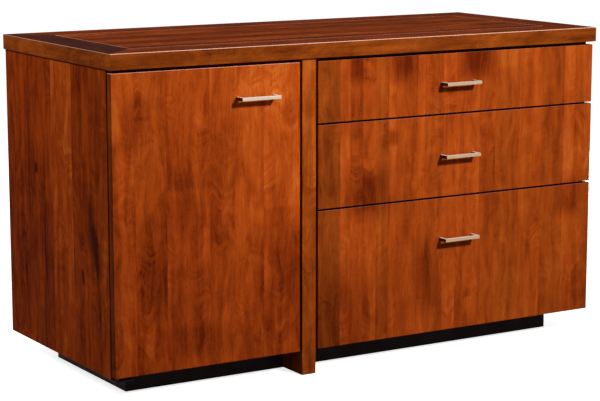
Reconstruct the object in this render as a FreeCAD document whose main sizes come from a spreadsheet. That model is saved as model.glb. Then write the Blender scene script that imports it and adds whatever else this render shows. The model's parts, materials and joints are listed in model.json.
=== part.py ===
"""Office credenza: a pedestal case with a cupboard on the left and three drawers on the right.

The frame is in millimetres. +X runs along the front to the right, +Y runs to the back and +Z up.
The origin is on the floor, under the middle of the whole piece with its pulls.
"""
import FreeCAD, Part
import os
import re
from collections import namedtuple

import Sketcher
from FreeCAD import Rotation, Vector

# Driving dimensions.
SIZES = {
    # overall
    "width": 1316, "depth": 571, "height": 762,
    # worktop: an inner panel in a mitred frame, with a fine groove between them
    "top_thickness": 35, "top_border": 92, "top_arris": 1.5, "inlay_groove": 1.2,
    "side_overhang": 4, "back_overhang": 2,
    # case
    "side_thickness": 19, "partition_thickness": 36, "floor_thickness": 19, "back_thickness": 12,
    "stretcher_thickness": 19, "stretcher_width": 60,
    # door and drawer fronts
    "front_thickness": 19, "front_setback": 7, "front_gap": 6, "front_arris": 0.8,
    "top_reveal": 7.5, "bottom_reveal": 7, "partition_reveal": 6, "drawer_gap": 4,
    "door_width": 467, "top_front_height": 141, "middle_front_height": 193,
    # plinth
    "plinth_height": 50, "plinth_thickness": 19, "plinth_end_setback": 65,
    "plinth_front_setback": 60, "plinth_back_setback": 117, "block_size": 30, "block_height": 40,
    # pulls
    "pull_centres": 91, "pull_leg": 8, "pull_bar": 8, "pull_height": 7.5, "pull_projection": 28,
    "pull_arris": 0.5, "door_pull_drop": 71, "door_pull_inset": 114, "file_pull_drop": 98,
    "drawer_pull_offset": 9,
    # shelf and its pins
    "shelf_thickness": 19, "shelf_rise": 320, "shelf_setback": 25, "shelf_clearance": 0.5,
    "shelf_pin": 5, "shelf_pin_bite": 10, "shelf_pin_reach": 9, "shelf_pin_inset": 50,
    # door pivots
    "pivot_inset": 7, "pivot_depth": 12, "pivot_pin": 5, "pivot_reach": 10, "pivot_collar": 9,
    "bush_size": 8, "bush_length": 12, "bracket_thickness": 2.5, "bracket_inset": 1,
    "top_bracket_length": 60, "bottom_bracket_width": 44, "bottom_bracket_reach": 45,
    # door catch
    "catch_width": 18, "catch_length": 20, "catch_height": 44, "catch_drop": 45,
    "catch_plate_thickness": 1.2, "catch_plate_height": 36, "catch_plate_width": 14, "catch_gap": 0.3,
    # drawer boxes
    "box_board": 15, "box_bottom": 6, "box_groove": 6, "box_groove_rise": 10,
    "box_lift": 15, "box_drop": 25, "box_rear_clearance": 14,
    "rail_thickness": 3, "rail_height": 14, "rail_spacing": 323,
    # drawer slides
    "slide_thickness": 12.7, "slide_height": 45, "slide_sheet": 1.5, "slide_rise": 40,
    "slide_setback": 2, "slide_rear_clearance": 19, "slide_play": 0.5, "slide_web_gap": 1,
    "cabinet_lip": 9.5, "middle_lip": 8, "drawer_lip": 7.7, "slide_screw_inset": 45,
    # fasteners: shank diameter, length under the head, head diameter, head height
    "pull_screw": 4, "pull_screw_bite": 12, "pull_screw_head": 8, "pull_screw_head_height": 2,
    "wood_screw": 4, "wood_screw_bite": 20, "wood_screw_head": 8, "wood_screw_head_height": 2.5,
    "worktop_screw_inset": 80, "bracket_screw_bite": 14, "bracket_screw_inset": 12,
    "bracket_screw_head_height": 1.5, "bracket_screw_spacing": 22,
    "slide_screw_bite": 11, "slide_screw_head_height": 0.6,
    "screw_clearance": 0.05, "running_clearance": 0.05,
}

# Places that follow from the sizes, each from the ones above it.
PLACES = {
    "top_left": "-width / 2",
    "top_right": "width / 2",
    "top_front": "(pull_projection - front_setback - depth) / 2",
    "top_back": "top_front + depth",
    "top_underside": "height - top_thickness",
    "case_left": "top_left + side_overhang",
    "case_right": "top_right - side_overhang",
    "fronts_front": "top_front + front_setback",
    "fronts_back": "fronts_front + front_thickness",
    "case_front": "fronts_back + front_gap",
    "case_back": "top_back - back_overhang",
    "backs_front": "case_back - back_thickness",
    "floors_top": "plinth_height + floor_thickness",
    "stretchers_bottom": "top_underside - stretcher_thickness",
    "fronts_top": "top_underside - top_reveal",
    "fronts_bottom": "plinth_height + bottom_reveal",
    "door_right": "case_left + door_width",
    "partition_left": "door_right + partition_reveal",
    "partition_right": "partition_left + partition_thickness",
    "drawers_left": "partition_right + partition_reveal",
    "cupboard_left": "case_left + side_thickness",
    "bay_right": "case_right - side_thickness",
    # drawer fronts, from the top down
    "top_front_bottom": "fronts_top - top_front_height",
    "middle_front_top": "top_front_bottom - drawer_gap",
    "middle_front_bottom": "middle_front_top - middle_front_height",
    "bottom_front_top": "middle_front_bottom - drawer_gap",
    # drawer boxes and slides
    "box_left": "partition_right + slide_thickness",
    "box_right": "bay_right - slide_thickness",
    "box_back": "backs_front - box_rear_clearance",
    "slide_front": "case_front + slide_setback",
    "slide_back": "backs_front - slide_rear_clearance",
    "middle_height": "slide_height - 2 * (slide_sheet + slide_play)",
    "inner_height": "middle_height - 2 * (slide_sheet + slide_play)",
    "drawers_middle": "(drawers_left + case_right) / 2",
    # door pivot axis
    "pivot_x": "case_left + pivot_inset",
    "pivot_y": "fronts_back - pivot_depth",
    # pulls
    "pull_length": "pull_centres + pull_leg",
    "drawer_pulls_middle": "drawers_middle - drawer_pull_offset",
    "pull_front": "fronts_front - pull_projection",
    # plinth
    "plinth_left": "case_left + plinth_end_setback",
    "plinth_right": "case_right - plinth_end_setback",
    "plinth_front": "case_front + plinth_front_setback",
    "plinth_back": "case_back - plinth_back_setback",
}

DIRECTIONS = {
    "+x": Rotation(Vector(0, 0, 1), Vector(1, 0, 0)),
    "-x": Rotation(Vector(0, 0, 1), Vector(-1, 0, 0)),
    "+y": Rotation(Vector(0, 0, 1), Vector(0, 1, 0)),
    "-y": Rotation(Vector(0, 0, 1), Vector(0, -1, 0)),
    "+z": Rotation(),
    "-z": Rotation(Vector(1, 0, 0), 180),
}
OPPOSITE = {"+x": "-x", "-x": "+x", "+y": "-y", "-y": "+y", "+z": "-z", "-z": "+z"}
ON_PLANE = 1e-4

Screw = namedtuple("Screw", "into shank length head head_height")
Drawer = namedtuple("Drawer", "name top bottom pull_z")

WORKTOP_SCREW = Screw("+z", "wood_screw", "stretcher_thickness + wood_screw_bite",
                      "wood_screw_head", "wood_screw_head_height")
BRACKET_SCREW = Screw("+z", "wood_screw", "bracket_thickness + bracket_screw_bite",
                      "wood_screw_head", "bracket_screw_head_height")
DOOR_PULL_SCREW = Screw("-y", "pull_screw", "front_thickness + pull_screw_bite",
                        "pull_screw_head", "pull_screw_head_height")
DRAWER_PULL_SCREW = DOOR_PULL_SCREW._replace(length="front_thickness + box_board + pull_screw_bite")
LEFT_SLIDE_SCREW = Screw("-x", "wood_screw", "slide_sheet + slide_screw_bite",
                         "wood_screw_head", "slide_screw_head_height")
RIGHT_SLIDE_SCREW = LEFT_SLIDE_SCREW._replace(into="+x")

DRAWERS = [
    Drawer("top", "fronts_top", "top_front_bottom", "(fronts_top + top_front_bottom) / 2"),
    Drawer("middle", "middle_front_top", "middle_front_bottom",
           "(middle_front_top + middle_front_bottom) / 2"),
    Drawer("bottom", "bottom_front_top", "fronts_bottom", "bottom_front_top - file_pull_drop"),
]

doc = FreeCAD.newDocument("credenza")
nodes = []


# ---------------------------------------------------------------- sheet, places and expressions

def fill_sheet():
    """Writes the driving dimensions to the sheet, one row each."""
    sheet = doc.addObject("Spreadsheet::Sheet", "sizes")
    for row, (alias, value) in enumerate(SIZES.items(), 1):
        sheet.set(f"A{row}", alias)
        sheet.set(f"B{row}", str(value))
        sheet.setAlias(f"B{row}", alias)
    doc.recompute()


def fill_places():
    """Works the places out from the sheet, in a set of variables."""
    places = doc.addObject("App::VarSet", "places")
    for name, rule in PLACES.items():
        places.addProperty("App::PropertyFloat", name)
        places.setExpression(name, full(rule))
    doc.recompute()


def full(rule):
    """Puts the sheet's or the variable set's name before each named value of a rule."""
    return re.sub(r"[a-z_]+", lambda word: ("sizes." if word[0] in SIZES else "places.") + word[0], rule)


def bind(thing, prop, rule):
    thing.setExpression(prop, full(rule))


def put(thing, at):
    for axis, rule in zip("xyz", at):
        bind(thing, f"Placement.Base.{axis}", rule)


def keep(label, thing):
    """Names a finished sub-part."""
    thing.Label = label
    nodes.append(thing)
    return thing


# ---------------------------------------------------------------- building blocks

def prism(name, plane, outline, length, at):
    """A padded outline. Its points are pairs of rules, in the plane's own two directions."""
    body = doc.addObject("PartDesign::Body", name)
    sketch = body.newObject("Sketcher::SketchObject", f"{name}_outline")
    sketch.AttachmentSupport = [(next(f for f in body.Origin.OriginFeatures if f.Role == plane), "")]
    sketch.MapMode = "FlatFace"
    draw_outline(sketch, outline)
    pad = body.newObject("PartDesign::Pad", f"{name}_pad")
    pad.Profile = sketch
    pad.Reversed = plane == "XZ_Plane"
    bind(pad, "Length", length)
    put(body, at)
    sketch.Visibility = False
    doc.recompute()
    return body


def draw_outline(sketch, outline):
    """Draws a closed outline, with each corner held by its own two distances."""
    corners = [tuple(value_of(rule) for rule in corner) for corner in outline]
    count = len(corners)
    for index, corner in enumerate(corners):
        following = corners[(index + 1) % count]
        sketch.addGeometry(Part.LineSegment(Vector(*corner, 0), Vector(*following, 0)), False)
    for index in range(count):
        sketch.addConstraint(Sketcher.Constraint("Coincident", index, 2, (index + 1) % count, 1))
    for index, corner in enumerate(corners):
        for kind, value, rule in zip(("DistanceX", "DistanceY"), corner, outline[index]):
            number = sketch.addConstraint(Sketcher.Constraint(kind, -1, 1, index, 1, value))
            bind(sketch, f"Constraints[{number}]", rule)


def value_of(rule):
    return float(doc.getObject("places").evalExpression(full(rule)))


def board(name, x, y, z):
    """A rectangular board. Each argument is a pair of rules: where it starts and ends."""
    run, deep, high = (f"({end}) - ({start})" for start, end in (x, y, z))
    outline = [("0", "0"), (run, "0"), (run, deep), ("0", deep)]
    return prism(name, "XY_Plane", outline, high, (x[0], y[0], z[0]))


def chamfer(body, size, chosen):
    """Breaks the edges for which chosen(edge) is true, in the body's own frame."""
    base = body.Tip
    edges = [f"Edge{number}" for number, edge in enumerate(base.Shape.Edges, 1) if chosen(edge)]
    broken = body.newObject("PartDesign::Chamfer", f"{body.Name}_arris")
    broken.Base = (base, edges)
    bind(broken, "Size", size)
    body.Tip = broken
    doc.recompute()


def lies_on(axis, rule):
    """A test for edges that lie in the plane where the axis has the rule's value."""
    place = value_of(rule)
    index = "xyz".index(axis)
    return lambda edge: all(abs(vertex.Point[index] - place) < ON_PLANE for vertex in edge.Vertexes)


def both(first, second):
    return lambda edge: first(edge) and second(edge)


def cylinder(name, at, along, diameter, length):
    rod = doc.addObject("Part::Cylinder", name)
    rod.Placement.Rotation = DIRECTIONS[along]
    bind(rod, "Radius", f"({diameter}) / 2")
    bind(rod, "Height", length)
    put(rod, at)
    return rod


def fused(name, pieces):
    joined = doc.addObject("Part::MultiFuse", name)
    joined.Shapes = pieces
    doc.recompute()
    return joined


def cut(name, blank, tools):
    """A blank with holes or grooves, where every tool must take something away."""
    result = doc.addObject("Part::Cut", name)
    result.Base = blank
    result.Tool = tools[0] if len(tools) == 1 else fused(f"{name}_tools", tools)
    doc.recompute()
    for tool in tools:
        if blank.Shape.common(tool.Shape).Volume <= 0:
            raise RuntimeError(f"{tool.Name} takes nothing from {name}")
    return result


def screw_bodies(name, kind, spots):
    """The shanks and heads of like screws, each with its head's underside at its spot."""
    pieces = []
    for spot in spots:
        pieces.append(cylinder(f"{name}_shank", spot, kind.into, kind.shank, kind.length))
        pieces.append(cylinder(f"{name}_head", spot, OPPOSITE[kind.into], kind.head, kind.head_height))
    return pieces


def screws(name, kind, spots):
    return keep(name, fused(name, screw_bodies(name, kind, spots)))


def holes(name, kind, spots):
    """The holes for like screws, from the underside of each head."""
    return [cylinder(f"{name}_hole", spot, kind.into, f"{kind.shank} + 2 * screw_clearance",
                     f"{kind.length} + screw_clearance") for spot in spots]


# ---------------------------------------------------------------- places of the fasteners

def worktop_spots(row, start, end):
    """Two screws up through one stretcher."""
    y = {"front": "case_front + stretcher_width / 2", "back": "backs_front - stretcher_width / 2"}[row]
    return [(f"{start} + worktop_screw_inset", y, "stretchers_bottom"),
            (f"{end} - worktop_screw_inset", y, "stretchers_bottom")]


def top_bracket_spots():
    x = "case_left + bracket_inset + top_bracket_length - bracket_screw_inset"
    z = "top_underside - bracket_thickness"
    return [(x, "pivot_y", z), (f"{x} - bracket_screw_spacing", "pivot_y", z)]


def bottom_bracket_spots():
    x = "case_left + bracket_inset + bottom_bracket_width - bracket_screw_inset"
    y = "case_front + bottom_bracket_reach - bracket_screw_inset"
    z = "plinth_height - bracket_thickness"
    return [(x, y, z), (x, f"{y} - bracket_screw_spacing", z)]


def shelf_pin_spots():
    """The four pins: a height just under the shelf, near the cupboard's front and back."""
    z = "floors_top + shelf_rise - shelf_pin / 2"
    rows = ["case_front + shelf_setback + shelf_pin_inset", "backs_front - shelf_pin_inset"]
    left = [("cupboard_left - shelf_pin_bite", y, z) for y in rows]
    right = [("partition_left - shelf_pin_reach", y, z) for y in rows]
    return left, right


def slide_rows():
    """How far back the three screws of a slide member lie."""
    return ["slide_front + slide_screw_inset", "(slide_front + slide_back) / 2",
            "slide_back - slide_screw_inset"]


def slide_z(drawer):
    return f"{drawer.bottom} + box_lift + slide_rise"


def slide_screw_spots(side):
    """The screws that hold the cabinet members: left on the partition, right on the side panel."""
    x = {"left": "partition_right + slide_sheet", "right": "bay_right - slide_sheet"}[side]
    return [(x, y, slide_z(drawer)) for drawer in DRAWERS for y in slide_rows()]


def pull_spots(middle, z, y):
    return [(f"{middle} - pull_centres / 2", y, z), (f"{middle} + pull_centres / 2", y, z)]


# ---------------------------------------------------------------- worktop

def make_worktop():
    """Four mitred rails round a panel. Their meeting edges are broken, which leaves a fine groove."""
    panel = board("worktop_panel", ("top_left + top_border", "top_right - top_border"),
                  ("top_front + top_border", "top_back - top_border"), ("top_underside", "height"))
    chamfer(panel, "inlay_groove", lies_on("z", "top_thickness"))
    keep("worktop_panel", panel)

    long_rail = [("0", "0"), ("width", "0"), ("width - top_border", "top_border"),
                 ("top_border", "top_border")]
    far_rail = [("top_border", "0"), ("width - top_border", "0"), ("width", "top_border"),
                ("0", "top_border")]
    left_rail = [("0", "0"), ("top_border", "top_border"), ("top_border", "depth - top_border"),
                 ("0", "depth")]
    right_rail = [("top_border", "0"), ("top_border", "depth"), ("0", "depth - top_border"),
                  ("0", "top_border")]
    rails = [
        ("front", long_rail, ("top_left", "top_front"), ("y", "0", "top_border")),
        ("back", far_rail, ("top_left", "top_back - top_border"), ("y", "top_border", "0")),
        ("left", left_rail, ("top_left", "top_front"), ("x", "0", "top_border")),
        ("right", right_rail, ("top_right - top_border", "top_front"), ("x", "top_border", "0")),
    ]
    for side, outline, corner, (axis, outer, inner) in rails:
        name = f"worktop_{side}_rail"
        rail = prism(f"{name}_blank", "XY_Plane", outline, "top_thickness", (*corner, "top_underside"))
        chamfer(rail, "top_arris", both(lies_on("z", "top_thickness"), lies_on(axis, outer)))
        chamfer(rail, "inlay_groove", both(lies_on("z", "top_thickness"), lies_on(axis, inner)))
        if axis == "x":
            keep(name, rail)
            continue
        spots = worktop_spots(side, "cupboard_left", "partition_left")
        spots += worktop_spots(side, "partition_right", "bay_right")
        tools = holes(name, WORKTOP_SCREW, spots)
        if side == "front":
            tools += holes(name, BRACKET_SCREW, top_bracket_spots())
        keep(name, cut(f"{name}_drilled", rail, tools))


# ---------------------------------------------------------------- case

def make_sides():
    y = ("case_front", "case_back")
    z = ("plinth_height", "top_underside")
    left = board("left_side", ("case_left", "cupboard_left"), y, z)
    right = board("right_side", ("bay_right", "case_right"), y, z)
    left_pins, _ = shelf_pin_spots()
    keep("left_side_panel", cut("left_side_drilled", left, pin_holes(left_pins)))
    screw_holes = holes("right_side", RIGHT_SLIDE_SCREW, slide_screw_spots("right"))
    keep("right_side_panel", cut("right_side_drilled", right, screw_holes))


def make_partition():
    """The thick centre panel, which stands on the floor and shows as a post between the fronts."""
    blank = board("partition", ("partition_left", "partition_right"), ("fronts_front", "case_back"),
                  ("0", "top_underside"))
    upright = lambda edge: edge.Length > value_of("plinth_height")
    chamfer(blank, "front_arris", both(lies_on("y", "0"), upright))
    _, right_pins = shelf_pin_spots()
    tools = pin_holes(right_pins) + holes("partition", LEFT_SLIDE_SCREW, slide_screw_spots("left"))
    keep("centre_partition", cut("partition_drilled", blank, tools))


def pin_holes(spots):
    reach = "shelf_pin_bite + shelf_pin_reach"
    return [cylinder("pin_hole", spot, "+x", "shelf_pin + 2 * screw_clearance", reach) for spot in spots]


def make_floors_and_backs():
    """Two floors between the uprights, and two backs that close the case behind them."""
    bays = [("cupboard", "cupboard_left", "partition_left"), ("drawer_bay", "partition_right", "bay_right")]
    for name, start, end in bays:
        floor = board(f"{name}_floor_blank", (start, end), ("case_front", "backs_front"),
                      ("plinth_height", "floors_top"))
        if name == "cupboard":
            floor = cut("cupboard_floor_drilled", floor,
                        holes("cupboard_floor", BRACKET_SCREW, bottom_bracket_spots()))
        keep(f"{name}_floor", floor)
        keep(f"{name}_back", board(f"{name}_back", (start, end), ("backs_front", "case_back"),
                                   ("plinth_height", "top_underside")))
        make_stretchers(name, start, end)


def make_stretchers(bay, start, end):
    """The two rails under the worktop that carry its screws."""
    z = ("stretchers_bottom", "top_underside")
    rows = {"front": ("case_front", "case_front + stretcher_width"),
            "back": ("backs_front - stretcher_width", "backs_front")}
    pieces = []
    for row, y in rows.items():
        name = f"{bay}_{row}_stretcher"
        blank = board(name, (start, end), y, z)
        tools = holes(name, WORKTOP_SCREW, worktop_spots(row, start, end))
        pieces.append(cut(f"{name}_drilled", blank, tools))
    keep(f"{bay}_stretchers", fused(f"{bay}_stretchers", pieces))


def make_worktop_screws():
    spots = []
    for start, end in (("cupboard_left", "partition_left"), ("partition_right", "bay_right")):
        for row in ("front", "back"):
            spots += worktop_spots(row, start, end)
    screws("worktop_screws", WORKTOP_SCREW, spots)


def make_plinths():
    """A low black frame under each bay: boards at the front, the back and the outer end."""
    bays = [("left", "plinth_left", "partition_left", "plinth_left", "plinth_left + plinth_thickness"),
            ("right", "partition_right", "plinth_right", "plinth_right - plinth_thickness", "plinth_right")]
    z = ("0", "plinth_height")
    front = ("plinth_front", "plinth_front + plinth_thickness")
    back = ("plinth_back - plinth_thickness", "plinth_back")
    for side, start, end, end_start, end_end in bays:
        keep(f"{side}_plinth_front", board(f"{side}_plinth_front", (start, end), front, z))
        keep(f"{side}_plinth_back", board(f"{side}_plinth_back", (start, end), back, z))
        end_y = (front[1], back[0])
        keep(f"{side}_plinth_end", board(f"{side}_plinth_end", (end_start, end_end), end_y, z))


def make_plinth_blocks():
    """Glue blocks in the corners of both plinths, which tie them to the floors above."""
    starts = ["plinth_left + plinth_thickness", "partition_left - block_size",
              "partition_right", "plinth_right - plinth_thickness - block_size"]
    rows = ["plinth_front + plinth_thickness", "plinth_back - plinth_thickness - block_size"]
    blocks = []
    for x in starts:
        for y in rows:
            blocks.append(board("plinth_block", (x, f"{x} + block_size"), (y, f"{y} + block_size"),
                                ("plinth_height - block_height", "plinth_height")))
    keep("plinth_blocks", fused("plinth_blocks", blocks))


def make_shelf():
    keep("shelf", board("shelf", ("cupboard_left + shelf_clearance", "partition_left - shelf_clearance"),
                        ("case_front + shelf_setback", "backs_front - shelf_clearance"),
                        ("floors_top + shelf_rise", "floors_top + shelf_rise + shelf_thickness")))
    left, right = shelf_pin_spots()
    reach = "shelf_pin_bite + shelf_pin_reach"
    keep("shelf_pins", fused("shelf_pins", [cylinder("shelf_pin_rod", spot, "+x", "shelf_pin", reach)
                                            for spot in left + right]))


# ---------------------------------------------------------------- door

def make_brackets():
    """The two plates that carry the door: one under the worktop and one under the case."""
    plate = board("top_bracket_plate",
                  ("case_left + bracket_inset", "case_left + bracket_inset + top_bracket_length"),
                  ("fronts_front + bracket_inset", "case_front - bracket_inset"),
                  ("top_underside - bracket_thickness", "top_underside"))
    pin = cylinder("top_pin", ("pivot_x", "pivot_y", "top_underside - bracket_thickness"), "-z",
                   "pivot_pin", "top_reveal - bracket_thickness + pivot_reach")
    blank = fused("top_bracket_blank", [plate, pin])
    tools = holes("top_bracket", BRACKET_SCREW, top_bracket_spots())
    keep("top_pivot_bracket", cut("top_bracket_drilled", blank, tools))

    plate = board("bottom_bracket_plate",
                  ("case_left + bracket_inset", "case_left + bracket_inset + bottom_bracket_width"),
                  ("fronts_front + bracket_inset", "case_front + bottom_bracket_reach"),
                  ("plinth_height - bracket_thickness", "plinth_height"))
    foot = ("pivot_x", "pivot_y", "plinth_height")
    collar = cylinder("bottom_collar", foot, "+z", "pivot_collar", "bottom_reveal - running_clearance")
    pin = cylinder("bottom_pin", foot, "+z", "pivot_pin", "bottom_reveal + pivot_reach")
    blank = fused("bottom_bracket_blank", [plate, collar, pin])
    tools = holes("bottom_bracket", BRACKET_SCREW, bottom_bracket_spots())
    keep("bottom_pivot_bracket", cut("bottom_bracket_drilled", blank, tools))
    screws("bracket_screws", BRACKET_SCREW, top_bracket_spots() + bottom_bracket_spots())


def front_board(name, x, z):
    """A door or drawer front with its front edges broken."""
    blank = board(name, x, ("fronts_front", "fronts_back"), z)
    chamfer(blank, "front_arris", lies_on("y", "0"))
    return blank


def make_door():
    panel = front_board("door", ("case_left", "door_right"), ("fronts_bottom", "fronts_top"))
    middle = "door_right - door_pull_inset"
    z = "fronts_top - door_pull_drop"
    spots = pull_spots(middle, z, "fronts_back")
    ends = [(("pivot_x", "pivot_y", "fronts_top"), "-z"), (("pivot_x", "pivot_y", "fronts_bottom"), "+z")]
    tools = holes("door_pull", DOOR_PULL_SCREW, spots)
    tools += [cylinder("bush_bore", at, into, "bush_size + 2 * screw_clearance", "bush_length")
              for at, into in ends]
    keep("door_panel", cut("door_drilled", panel, tools))
    make_pull("door_pull", middle, z, DOOR_PULL_SCREW, spots)
    screws("door_pull_screws", DOOR_PULL_SCREW, spots)

    rods = fused("bush_rods", [cylinder("bush_rod", at, into, "bush_size", "bush_length")
                               for at, into in ends])
    bores = [cylinder("bush_hole", at, into, "pivot_pin + 2 * running_clearance", "bush_length")
             for at, into in ends]
    keep("door_bushes", cut("door_bushes_bored", rods, bores))


def make_catch():
    """A magnetic catch on the partition and its steel plate on the back of the door."""
    front = "fronts_back + catch_plate_thickness + catch_gap"
    top = "stretchers_bottom - catch_drop"
    keep("door_catch", board("door_catch", ("partition_left - catch_width", "partition_left"),
                             (front, f"{front} + catch_length"), (f"{top} - catch_height", top)))
    middle = f"{top} - catch_height / 2"
    right = "door_right - (catch_width - catch_plate_width) / 2"
    keep("catch_plate", board("catch_plate", (f"{right} - catch_plate_width", right),
                              ("fronts_back", "fronts_back + catch_plate_thickness"),
                              (f"{middle} - catch_plate_height / 2", f"{middle} + catch_plate_height / 2")))


def make_pull(name, middle, z, kind, spots):
    """A flat bar bent square: two legs and a front, drilled at the back for its screws."""
    outline = [
        ("0", "0"), ("pull_length", "0"), ("pull_length", "pull_projection"),
        ("pull_length - pull_leg", "pull_projection"), ("pull_length - pull_leg", "pull_bar"),
        ("pull_leg", "pull_bar"), ("pull_leg", "pull_projection"), ("0", "pull_projection"),
    ]
    at = (f"{middle} - pull_length / 2", "pull_front", f"{z} - pull_height / 2")
    bar = prism(f"{name}_bar", "XY_Plane", outline, "pull_height", at)
    chamfer(bar, "pull_arris", lies_on("y", "0"))
    keep(name, cut(f"{name}_drilled", bar, holes(name, kind, spots)))


# ---------------------------------------------------------------- drawers

def make_drawer(drawer):
    """A drawer: its front, pull and box, and the slide members that travel with it."""
    name = f"{drawer.name}_drawer"
    spots = pull_spots("drawer_pulls_middle", drawer.pull_z, "fronts_back + box_board")
    tools = holes(name, DRAWER_PULL_SCREW, spots)
    front = front_board(f"{name}_front_board", ("drawers_left", "case_right"), (drawer.bottom, drawer.top))
    keep(f"{name}_front", cut(f"{name}_front_drilled", front, tools))
    make_pull(f"{name}_pull", "drawer_pulls_middle", drawer.pull_z, DRAWER_PULL_SCREW, spots)
    screws(f"{name}_pull_screws", DRAWER_PULL_SCREW, spots)
    make_box(name, drawer, tools)
    make_slides(name, drawer)


def make_box(name, drawer, pull_holes):
    """Sides and ends round a bottom that is held in grooves."""
    low = f"{drawer.bottom} + box_lift"
    high = f"{drawer.top} - box_drop"
    inner_x = ("box_left + box_board", "box_right - box_board")
    inner_y = ("fronts_back + box_board", "box_back - box_board")
    groove_x = ("box_left + box_board - box_groove", "box_right - box_board + box_groove")
    groove_y = ("fronts_back + box_board - box_groove", "box_back - box_board + box_groove")
    groove_z = (f"{low} + box_groove_rise", f"{low} + box_groove_rise + box_bottom")
    bottom = board(f"{name}_bottom", groove_x, groove_y, groove_z)

    sides = fused(f"{name}_side_boards", [
        board(f"{name}_left", ("box_left", inner_x[0]), ("fronts_back", "box_back"), (low, high)),
        board(f"{name}_right", (inner_x[1], "box_right"), ("fronts_back", "box_back"), (low, high))])
    keep(f"{name}_sides", cut(f"{name}_sides_grooved", sides, [bottom]))

    ends = fused(f"{name}_end_boards", [
        board(f"{name}_inner_front", inner_x, ("fronts_back", inner_y[0]), (low, high)),
        board(f"{name}_inner_back", inner_x, (inner_y[1], "box_back"), (low, high))])
    tools = [bottom, *pull_holes]
    if drawer.name == "bottom":
        tools += file_rails("rail_slot", high, "screw_clearance")
        keep("file_rails", fused("file_rails", file_rails("file_rail", high, "0")))
    keep(f"{name}_ends", cut(f"{name}_ends_grooved", ends, tools))
    keep(f"{name}_bottom", bottom)


def file_rails(name, high, margin):
    """Three flat rails from front to back, for two rows of hanging files. They rest in slots."""
    middle = "(box_left + box_right) / 2"
    rails = []
    for offset in ("- rail_spacing", "", "+ rail_spacing"):
        x = (f"{middle} {offset} - rail_thickness / 2 - {margin}",
             f"{middle} {offset} + rail_thickness / 2 + {margin}")
        rails.append(board(name, x, ("fronts_back", "box_back"), (f"{high} - rail_height", high)))
    return rails


def channel(name, web_x, lip, towards, high, z):
    """One slide member: a web with two lips, towards +x or -x, from the slides' front to their back."""
    sign = {"+x": "", "-x": "-"}[towards]
    sheet = f"{sign}slide_sheet"
    reach = f"{sign}({lip})"
    half = f"({high}) / 2"
    outline = [
        ("0", f"-{half}"), (reach, f"-{half}"), (reach, f"slide_sheet - {half}"),
        (sheet, f"slide_sheet - {half}"), (sheet, f"{half} - slide_sheet"),
        (reach, f"{half} - slide_sheet"), (reach, half), ("0", half),
    ]
    return prism(name, "XZ_Plane", outline, "slide_back - slide_front", (web_x, "slide_front", z))


def make_slides(name, drawer):
    """The middle and drawer members of both slides, nested in the cabinet members."""
    z = slide_z(drawer)
    web = "(slide_sheet + slide_web_gap)"
    middle = [channel(f"{name}_middle_left", f"partition_right + {web}", "middle_lip", "+x",
                      "middle_height", z),
              channel(f"{name}_middle_right", f"bay_right - {web}", "middle_lip", "-x",
                      "middle_height", z)]
    keep(f"{name}_middle_members", fused(f"{name}_middle_members", middle))
    inner = [channel(f"{name}_inner_left", "box_left", "drawer_lip", "-x", "inner_height", z),
             channel(f"{name}_inner_right", "box_right", "drawer_lip", "+x", "inner_height", z)]
    keep(f"{name}_slide_members", fused(f"{name}_slide_members", inner))


def make_cabinet_members():
    """The fixed members of all six slides, screwed to the partition and the right side."""
    members = []
    for drawer in DRAWERS:
        z = slide_z(drawer)
        members.append(channel(f"{drawer.name}_cabinet_left", "partition_right", "cabinet_lip", "+x",
                               "slide_height", z))
        members.append(channel(f"{drawer.name}_cabinet_right", "bay_right", "cabinet_lip", "-x",
                               "slide_height", z))
    tools = holes("cabinet_left", LEFT_SLIDE_SCREW, slide_screw_spots("left"))
    tools += holes("cabinet_right", RIGHT_SLIDE_SCREW, slide_screw_spots("right"))
    keep("cabinet_slide_members", cut("cabinet_members_drilled", fused("cabinet_members", members), tools))


def make_slide_screws():
    left = screw_bodies("left_slide_screw", LEFT_SLIDE_SCREW, slide_screw_spots("left"))
    right = screw_bodies("right_slide_screw", RIGHT_SLIDE_SCREW, slide_screw_spots("right"))
    keep("slide_screws", fused("slide_screws", left + right))


# ---------------------------------------------------------------- checks and files

def check():
    """Stops before anything is written if an object failed or a sub-part's shape is bad."""
    for thing in doc.Objects:
        if "Invalid" in thing.State or "Error" in thing.State:
            raise RuntimeError(f"{thing.Label} failed: {thing.State}")
    for node in nodes:
        if node.Shape.isNull() or not node.Shape.isValid() or not node.Shape.Solids:
            raise RuntimeError(f"{node.Label} has no valid solid")


def write_files():
    os.makedirs("parts", exist_ok=True)
    for node in nodes:
        node.Shape.exportStep(f"parts/{node.Label}.step")
    print(len(nodes), "sub-parts")


fill_sheet()
fill_places()
make_worktop()
make_sides()
make_partition()
make_floors_and_backs()
make_worktop_screws()
make_plinths()
make_plinth_blocks()
make_shelf()
make_brackets()
make_door()
make_catch()
for one_drawer in DRAWERS:
    make_drawer(one_drawer)
make_cabinet_members()
make_slide_screws()
doc.recompute()
check()
write_files()
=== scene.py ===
"""Office credenza: its pieces, finishes, light and camera.

Metres, in the CAD's own frame: X runs to the right, Y to the back and Z up.
"""
import json
import math
import random
from collections import namedtuple

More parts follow.
